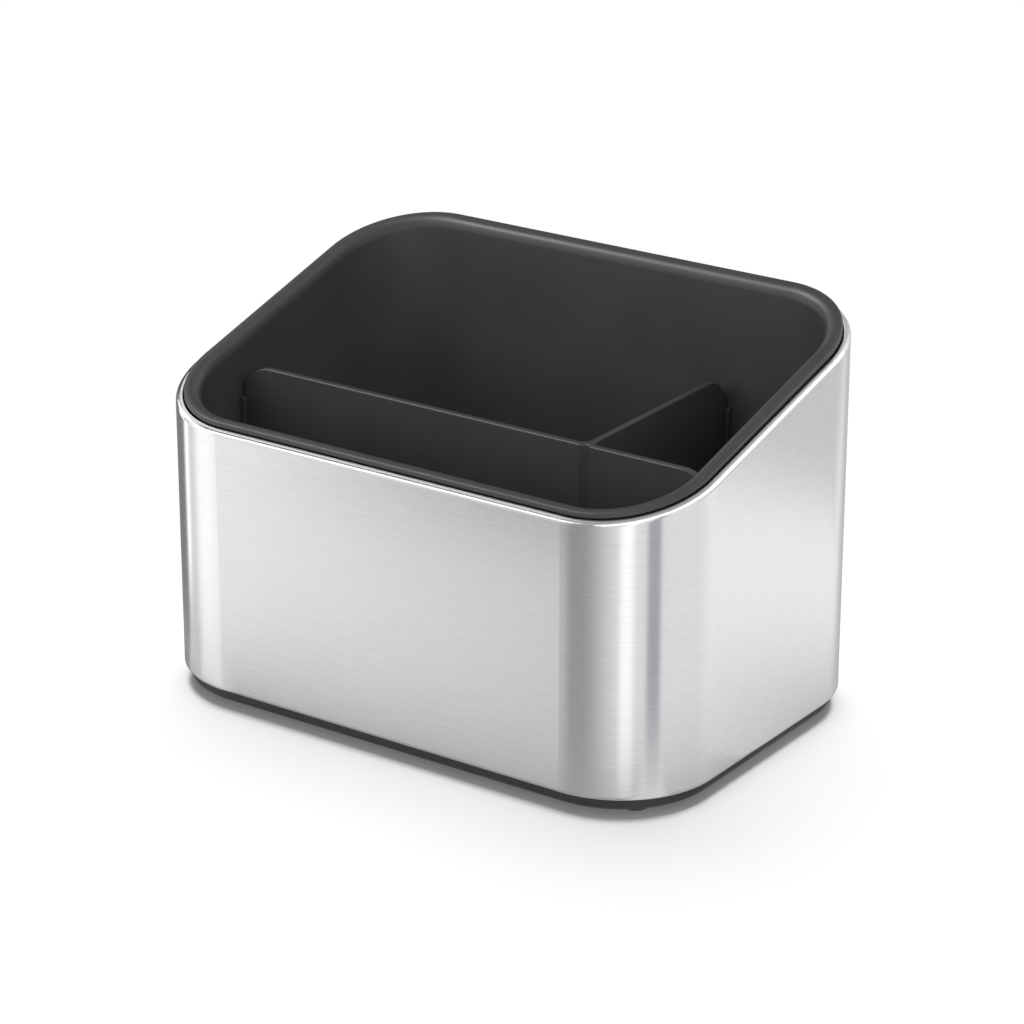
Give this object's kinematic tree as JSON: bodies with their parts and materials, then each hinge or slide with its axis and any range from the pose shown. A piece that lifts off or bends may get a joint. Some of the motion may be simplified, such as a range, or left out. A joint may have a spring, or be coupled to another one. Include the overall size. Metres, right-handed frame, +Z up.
{
  "type": "sink caddy",
  "caption": "Brushed steel sink caddy with a slanted top, holding a lift-out plastic tub that a lift-out T-shaped divider splits into compartments.",
  "frame": {"origin": "on the surface that the feet stand on, under the middle of the casing's footprint", "axes": "+Z up, +X across the width to the right seen from the front, the low front at -Y and the high back at +Y"},
  "size_m": [0.18, 0.1226, 0.1212],
  "materials": {
    "brushed_steel": "fine brush lines along the wall, satin",
    "tub_plastic": "fine matt mould texture",
    "base_plastic": "fine matt mould texture",
    "foot_rubber": "matt"
  },
  "bodies": {
    "casing": {"outer_sleeve": "brushed_steel", "base_tray": "base_plastic", "foot_front_left": "foot_rubber", "foot_front_right": "foot_rubber", "foot_back_left": "foot_rubber", "foot_back_right": "foot_rubber"},
    "tub": {"inner_tub": "tub_plastic"},
    "divider": {"divider": "tub_plastic"}
  },
  "joints": [
    {"name": "tub_lift", "type": "slide", "parent": "casing", "child": "tub", "axis": [0, 0, 1], "range_m": [0, 0.12]},
    {"name": "divider_lift", "type": "slide", "parent": "tub", "child": "divider", "axis": [0, 0, 1], "range_m": [0, 0.12]}
  ]
}
